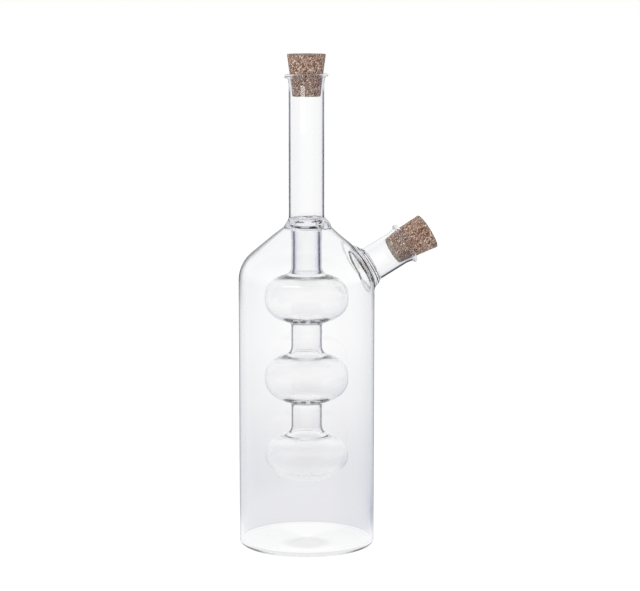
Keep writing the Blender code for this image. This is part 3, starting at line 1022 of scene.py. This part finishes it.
def weld_point(profile, angle):
    """The point at one angle round the spout where its seal begins on the jacket."""
    along = on_surface(profile, WELD_RADIUS, angle)
    local = np.array([WELD_RADIUS * math.cos(angle), WELD_RADIUS * math.sin(angle), along])
    return np.array(SPOUT_ORIGIN) + SPOUT_AXES @ local


def smooth_curve(points, steps):
    """A smooth curve through points, in even steps of their length."""
    points = np.asarray(points, float)
    lengths = path_lengths(points)
    tangents = np.gradient(points, lengths, axis=0)
    out = []
    for t in np.linspace(0, lengths[-1], steps):
        k = min(int(np.searchsorted(lengths, t, side="right")) - 1, len(points) - 2)
        h = lengths[k + 1] - lengths[k]
        u = (t - lengths[k]) / h
        a = (2 * u**3 - 3 * u**2 + 1) * points[k] + (u**3 - 2 * u**2 + u) * h * tangents[k]
        b = (-2 * u**3 + 3 * u**2) * points[k + 1] + (u**3 - u**2) * h * tangents[k + 1]
        out.append(a + b)
    return np.array(out)


def build_spout(out_profile, in_profile, glass):
    """The spout's weld on the jacket, and its tube."""
    tube_path = tube_outline(1.5, SPOUT_TUBE_START, SPOUT_RIM)
    outer = np.stack([weld_outside(angle, out_profile) for angle in ANGLES], axis=1)
    inner = np.stack([weld_inside(angle, in_profile) for angle in ANGLES], axis=1)

    def stood(ways):
        radius, along = ways[..., 0], ways[..., 1]
        return np.stack([radius * np.cos(ANGLES), radius * np.sin(ANGLES), along], axis=2)

    local = np.concatenate([stood(outer), turned(tube_path)[1:], stood(inner)[1:]])
    points = local @ SPOUT_AXES.T + np.array(SPOUT_ORIGIN)
    normals = grid_normals(points)
    normals[0] = surface_normals(out_profile, points[0], True)
    normals[-1] = surface_normals(in_profile, points[-1], False)
    weld_out, tube, weld_in = cut(points, normals, [outer, tube_path, inner])

    skin = Skin()
    skin.add_grid(*weld_out)
    index = skin.add_grid(*weld_in, INSIDE)
    on_funnel = inner[..., 0] < FUNNEL_RADIUS + 0.1
    tips = np.where(on_funnel, inner[..., 1], 0.0).min(axis=0)
    # Painted shade: a dark line where the funnel ends inside the chamber
    marks = [("groove_shade", index, bell(inner[..., 1] - tips, 0.25, 0.6) * on_funnel)]
    finishes = [glass.weld, glass.seal_bore]
    skin.build("spout_seal_glass", "bottle", ["spout_seal"], finishes, marks)
    skin = Skin()
    add_tube(skin, *tube, tube_path)
    finishes = [glass.spout, glass.bore, glass.lip]
    skin.build("spout_tube_glass", "bottle", ["spout_tube"], finishes)


def weld_outside(angle, profile):
    """The weld's outer side at one angle, from jacket to tube, as (radius, along the spout's axis)."""
    up = (1 - math.cos(angle)) / 2
    side = abs(math.sin(angle))
    foot_radius = 14.0 - 1.6 * side
    foot = on_surface(profile, foot_radius, angle)
    way = [(rho, on_surface(profile, rho, angle)) for rho in (WELD_RADIUS, 17.0, foot_radius + 1.6)]
    way += [
        (foot_radius + 0.2, foot + 0.12),
        (12.4 - 1.0 * side + 0.9 * up, min(-3.4 + 0.6 * side, foot + 2.2 - 0.9 * side)),
        (10.9 - 0.4 * side + 0.9 * up, -2.3 + 0.3 * side),
        (10.0 + 0.4 * up, -1.2),
        (TUBE_RADIUS, SPOUT_TUBE_START),
    ]
    return smooth_curve(way, WELD_ROWS)


def weld_inside(angle, profile):
    """The weld's inner side: a funnel that stands a little into the chamber, then the jacket's inside."""
    surface = on_surface(profile, 11.6, angle)
    tip = min(FUNNEL_END + FUNNEL_LEAN * math.sin(angle), surface)
    stands = surface - tip
    waist = min(1, stands / 4)
    foot = on_surface(profile, FUNNEL_RADIUS, angle)
    way = [
        (BORE, SPOUT_TUBE_START),
        (BORE + 0.05, -2.4),
        (BORE + 0.6, -4.4),
        (BORE + 1.6, -6.1),
        (11.5, tip + 0.55),
        (12.3, tip),
        (FUNNEL_RADIUS, tip + 0.14 * stands),
        (FUNNEL_RADIUS - 1.0 * waist, tip + 0.55 * stands),
        (FUNNEL_RADIUS - 0.6 * waist, foot - min(0.3, 0.3 * stands)),
    ]
    way += [(rho, on_surface(profile, rho, angle)) for rho in (14.0, 15.6, 17.0, WELD_RADIUS)]
    return smooth_curve(way, WELD_ROWS)


def granule_relief(points, seed, spacing=0.8):
    """Height and cavity of pressed granules: cells round the seeded, jittered points of a slanting grid."""
    slant = np.array([[0.36, 0.1, 0.36], [0.1, 0.9, 0.0], [-0.75, 0.1, 0.75]])
    placed = points @ slant.T / spacing
    cell = np.floor(placed).astype(int)
    low = cell.min(axis=0) - 1
    size = cell.max(axis=0) + 2 - low
    rng = np.random.default_rng(seed)
    jitter = rng.uniform(0, 1, (*size, 3))
    level = rng.uniform(-1, 1, size)
    missing = rng.uniform(0, 1, size) < 0.06
    best = np.full(len(points), 9.0)
    second = np.full(len(points), 9.0)
    owner = np.zeros((len(points), 3), int)
    for shift in np.ndindex(3, 3, 3):
        near = np.clip(cell - low + np.array(shift) - 1, 0, size - 1)
        centre = near + low + jitter[tuple(near.T)]
        distance = np.linalg.norm(placed - centre, axis=1)
        closer = distance < best
        second = np.where(closer, best, np.minimum(second, distance))
        owner[closer] = near[closer]
        best = np.minimum(best, distance)
    apart = second - best
    own_cell = tuple(owner.T)
    seam = fall(apart, 0.22, 0.22)
    pit = missing[own_cell] * rise(apart, 0.0, 0.3)
    height = 0.05 * level[own_cell] - 0.12 * seam**2 - 0.40 * pit
    return height, np.clip(0.5 * seam**3 + 0.95 * pit, 0, 1)


def cork_outline(rim, depth, top_radius, rim_radius, grip_radius, end_radius):
    """A tapered cork's outline from its inner end up: its radii at the top, the rim, the bore and the end."""
    bottom = rim - depth
    return outline(
        0.16,
        (0.0, bottom, 0),
        (end_radius, bottom, 0.45),
        (grip_radius, rim - FLARE_LENGTH, 6.0),
        (rim_radius, rim, 6.0),
        (top_radius, bottom + CORK_LENGTH, 0.5),
        (0.0, bottom + CORK_LENGTH, 0),
    )


def build_cork(name, body, cad_node, path, rim, lean, axes, origin, seed, turn):
    """A cork with its granules in relief, which leans above its mouth's rim. axes and origin place it."""
    smooth = turned(path, CORK_COLUMNS)
    shape = smooth.shape[:2]
    height, cavity = (values.reshape(shape) for values in granule_relief(smooth.reshape(-1, 3), seed))
    height[0] = height[0].mean()
    height[-1] = height[-1].mean()
    points = smooth + grid_normals(smooth) * height[..., None]
    points[..., 0] += np.clip(points[..., 2] - rim, 0, None) * math.tan(lean)
    points = points @ axes.T + origin
    skin = Skin()
    index = skin.add_grid(points, grid_normals(points))
    levels = smooth[..., 2]
    marks = [
        ("cavity", index, cavity),
        ("inner_end", index, fall(levels - levels[0, 0], 0.7, 0.7)),
        ("top_end", index, fall(levels[-1, 0] - levels, 0.8, 0.8)),
    ]
    skin.build(name, body, [cad_node], [cork_material(name, turn)], marks)


def build_corks(cad):
    rim = cad["neck_tube"][1].z / MM
    path = cork_outline(rim, NECK_CORK_DEPTH, 10.6, 9.2, 8.43, 7.73)
    placed = (rim, 0.0, np.eye(3), (0.0, 0.0, 0.0))
    build_cork("neck_cork_stopper", "neck_stopper", "neck_cork", path, *placed, 11, (0.0, 0.8, 0.1))
    path = cork_outline(SPOUT_RIM, SPOUT_CORK_DEPTH, 10.3, 9.0, 8.25, 7.6)
    placed = (SPOUT_RIM, SPOUT_CORK_LEAN, SPOUT_AXES, SPOUT_ORIGIN)
    build_cork("spout_cork_stopper", "spout_stopper", "spout_cork", path, *placed, 23, (0.2, 1.2, 0.4))


def by_path(tree, straight, front, inner):
    """Picks the light that glass shows: straight through it, off its front, or off its inner sides."""
    path = node(tree, "LightPath")
    bounced = math_node(tree, "GREATER_THAN", path.outputs["Glossy Depth"], 0.5)
    entered = math_node(tree, "GREATER_THAN", path.outputs["Transmission Depth"], 0.5)
    return mix_colour(tree, bounced, straight, mix_colour(tree, entered, front, inner))


def world_light():
    """White all round for the camera, soft for matt surfaces, and for glass white below and darker above."""
    world = bpy.data.worlds.new("studio")
    bpy.context.scene.world = world
    world.use_nodes = True
    tree = world.node_tree
    tree.nodes.clear()
    up = part_of(tree, node(tree, "TexCoord").outputs["Generated"], "Z")
    bright, dim, dark = (1.0, 1.0, 1.0), (0.70, 0.71, 0.74), (0.36, 0.36, 0.39)
    straight = ramp(tree, up, [(0.0, bright), (0.6, bright), (0.85, (0.85, 0.85, 0.87)), (1.0, dim)])
    front = ramp(tree, up, [(0.0, (0.5, 0.5, 0.52)), (0.2, bright), (0.8, dim), (1.0, dim)])
    inner = ramp(tree, up, [(0.0, (0.9, 0.9, 0.91)), (0.1, bright), (0.7, bright), (0.85, dim), (1.0, dark)])
    seen = by_path(tree, straight, front, inner)
    path = node(tree, "LightPath")
    matt = mix_colour(tree, path.outputs["Is Diffuse Ray"], seen, (0.65, 0.65, 0.66))
    colour = mix_colour(tree, path.outputs["Is Camera Ray"], matt, bright)
    node(tree, "OutputWorld", {"Surface": shader(tree, "Background", {"Color": colour, "Strength": 1.0})})


def rings(tree, away, stops, reach=4.0):
    """Grey by distance in mm from the bottle's axis, up to reach in metres, a little blue where darker."""
    colours = [(mm * MM / reach, (grey, grey, grey + 0.2 * grey * (1 - grey))) for mm, grey in stops]
    return ramp(tree, map_range(tree, away, 0.0, reach), colours)


def flat_object(name, corners, material):
    mesh = bpy.data.meshes.new(name)
    mesh.from_pydata(corners, [], [list(range(len(corners)))])
    mesh.materials.append(material)
    return add_object(name, mesh)


def floor_stage():
    """A plain pale floor: white to the camera, with the object's shadow, and in other, painted greys of shade
    through glass.
    """
    material, tree = new_material("pale_floor")
    where = own_place(tree)
    away = vector_math(tree, "LENGTH", where)
    is_far = math_node(tree, "GREATER_THAN", away, 0.07)
    straight = mix_colour(tree, is_far, rings(tree, away, FLOOR_NEAR, 0.08), rings(tree, away, FLOOR_FAR))
    # Painted shadow: a darker spot on the floor under the bottle
    shadow_spot = map_range(tree, vector_math(tree, "DISTANCE", where, FLOOR_SHADOW_SPOT), 0.009, 0.015, 0.76)
    shadow_spot_grey = node(tree, "CombineColor", {0: shadow_spot, 1: shadow_spot, 2: shadow_spot}).outputs[0]
    straight = mix_colour(tree, 1.0, straight, shadow_spot_grey, "MULTIPLY")
    front = rings(tree, away, FLOOR_FRONT)
    inner = rings(tree, away, FLOOR_INNER)
    # Painted shade: the floor seen through glass is darker towards the front view's right, beyond 50 mm from
    # the axis
    toward = vector_math(tree, "NORMALIZE", where)
    to_right = vector_math(tree, "DOT_PRODUCT", toward, RIGHT)
    painted_right_shade = ramp(tree, to_right, [(0.60, WHITE), (0.9, (0.5, 0.51, 0.62))])
    beyond = map_range(tree, away, 0.05, 0.10)
    shown = mix_colour(tree, beyond, by_path(tree, straight, front, inner), painted_right_shade, "MULTIPLY")
    in_glass = shader(tree, "Emission", {"Color": shown, "Strength": 1.0})
    white = shader(tree, "Emission", {"Color": (1, 1, 1, 1), "Strength": 0.86})
    matt = shader(tree, "BsdfDiffuse", {"Color": (0.25, 0.25, 0.25, 1)})
    to_camera = shader(tree, "AddShader", {0: white, 1: matt})
    pale = shader(tree, "BsdfDiffuse", {"Color": (0.8, 0.8, 0.8, 1)})
    path = node(tree, "LightPath")
    by_glass = math_node(tree, "MAXIMUM", path.outputs["Is Glossy Ray"], path.outputs["Is Transmission Ray"])
    other = mix_shader(tree, by_glass, pale, in_glass)
    surface = mix_shader(tree, path.outputs["Is Camera Ray"], other, to_camera)
    node(tree, "OutputMaterial", {"Surface": surface})
    count, radius = 64, 6.0
    angles = [k * math.tau / count for k in range(count)]
    rim = [(radius * math.cos(angle), radius * math.sin(angle), -0.0002) for angle in angles]
    floor = flat_object("floor", rim, material)


def softbox(name, azimuth, elevation, distance, size, radiance, aim):
    """A rectangular lamp, azimuth measured as the camera's is."""
    a, e = math.radians(azimuth), math.radians(elevation)
    back = Vector((math.sin(a) * math.cos(e), -math.cos(a) * math.cos(e), math.sin(e)))
    light = bpy.data.lights.new(name, "AREA")
    light.shape = "RECTANGLE"
    light.size, light.size_y = size
    light.energy = radiance * math.pi * size[0] * size[1]
    lamp = add_object(name, light)
    lamp.location = Vector(aim) + back * distance
    lamp.rotation_mode = "QUATERNION"
    lamp.rotation_quaternion = back.to_track_quat("Z", "Y")
    lamp.visible_glossy = False
    lamp.visible_transmission = False


def highlight_card(azimuth, distance, width, low, high, radiance):
    """An upright card that only shows as a reflection off the front of the glass."""
    material, tree = new_material("highlight_card")
    path = node(tree, "LightPath")
    bounced = math_node(tree, "GREATER_THAN", path.outputs["Glossy Depth"], 0.5)
    outside_glass = math_node(tree, "LESS_THAN", path.outputs["Transmission Depth"], 0.5)
    shown = math_node(tree, "MULTIPLY", bounced, outside_glass)
    light = shader(tree, "Emission", {"Color": (1.0, 0.98, 0.96, 1.0), "Strength": radiance})
    surface = mix_shader(tree, shown, shader(tree, "BsdfTransparent"), light)
    node(tree, "OutputMaterial", {"Surface": surface})
    a = math.radians(azimuth)
    out = np.array([math.sin(a), -math.cos(a), 0])
    along = np.array([math.cos(a), math.sin(a), 0]) * width / 2
    places = ((-1, low), (1, low), (1, high), (-1, high))
    corners = [(out * distance + side * along + (0, 0, height)).tolist() for side, height in places]
    card = flat_object("highlight_card", corners, material)


def studio():
    world_light()
    floor_stage()
    highlight_card(-36.5, 1.5, 0.80, 0.13, 0.19, 9.0)
    aim = (0, 0, 0.2)
    softbox("key", -38.0, 14.0, 1.5, (0.78, 1.06), 4.2, aim)
    softbox("fill", 55.0, 25.0, 1.8, (0.9, 1.1), 1.6, aim)
    softbox("top", 160.0, 70.0, 1.6, (1.0, 0.8), 2.4, aim)


def camera():
    """A long lens, 8 degrees above the horizontal. The bottle's axis stands at axis_px in the picture."""
    azimuth, pitch = math.radians(-12.8), math.radians(8.0)
    focal_px, width_px = 2200.0, 640.0
    axis_px = 306.6
    height, away = 308.2 * MM, 1203.1 * MM
    right = Vector((math.cos(azimuth), math.sin(azimuth), 0))
    forward = Vector((-math.sin(azimuth), math.cos(azimuth), 0))
    offset = (width_px / 2 - axis_px) * (away / math.cos(pitch)) / focal_px
    data = bpy.data.cameras.new("camera")
    data.sensor_width = 36.0
    data.lens = focal_px / width_px * data.sensor_width
    data.clip_start, data.clip_end = 0.05, 50
    cam = add_object("camera", data)
    cam.location = -forward * away + right * offset + Vector((0, 0, height))
    look = forward * math.cos(pitch) - Vector((0, 0, math.sin(pitch)))
    cam.rotation_mode = "QUATERNION"
    cam.rotation_quaternion = look.to_track_quat("-Z", "Y")
    bpy.context.scene.camera = cam


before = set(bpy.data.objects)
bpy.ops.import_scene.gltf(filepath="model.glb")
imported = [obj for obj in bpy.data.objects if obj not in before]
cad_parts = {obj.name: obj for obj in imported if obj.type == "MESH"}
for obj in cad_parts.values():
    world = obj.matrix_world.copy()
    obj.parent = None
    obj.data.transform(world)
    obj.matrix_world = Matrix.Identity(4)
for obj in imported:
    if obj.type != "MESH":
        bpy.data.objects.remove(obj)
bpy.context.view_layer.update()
boxes = {
    "jacket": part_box("outer_jacket"),
    "neck_tube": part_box("neck_tube"),
    "vessel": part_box("inner_vessel"),
}
build_glass(boxes)
build_corks(boxes)
studio()
camera()
bpy.context.scene.view_settings.view_transform = "Standard"
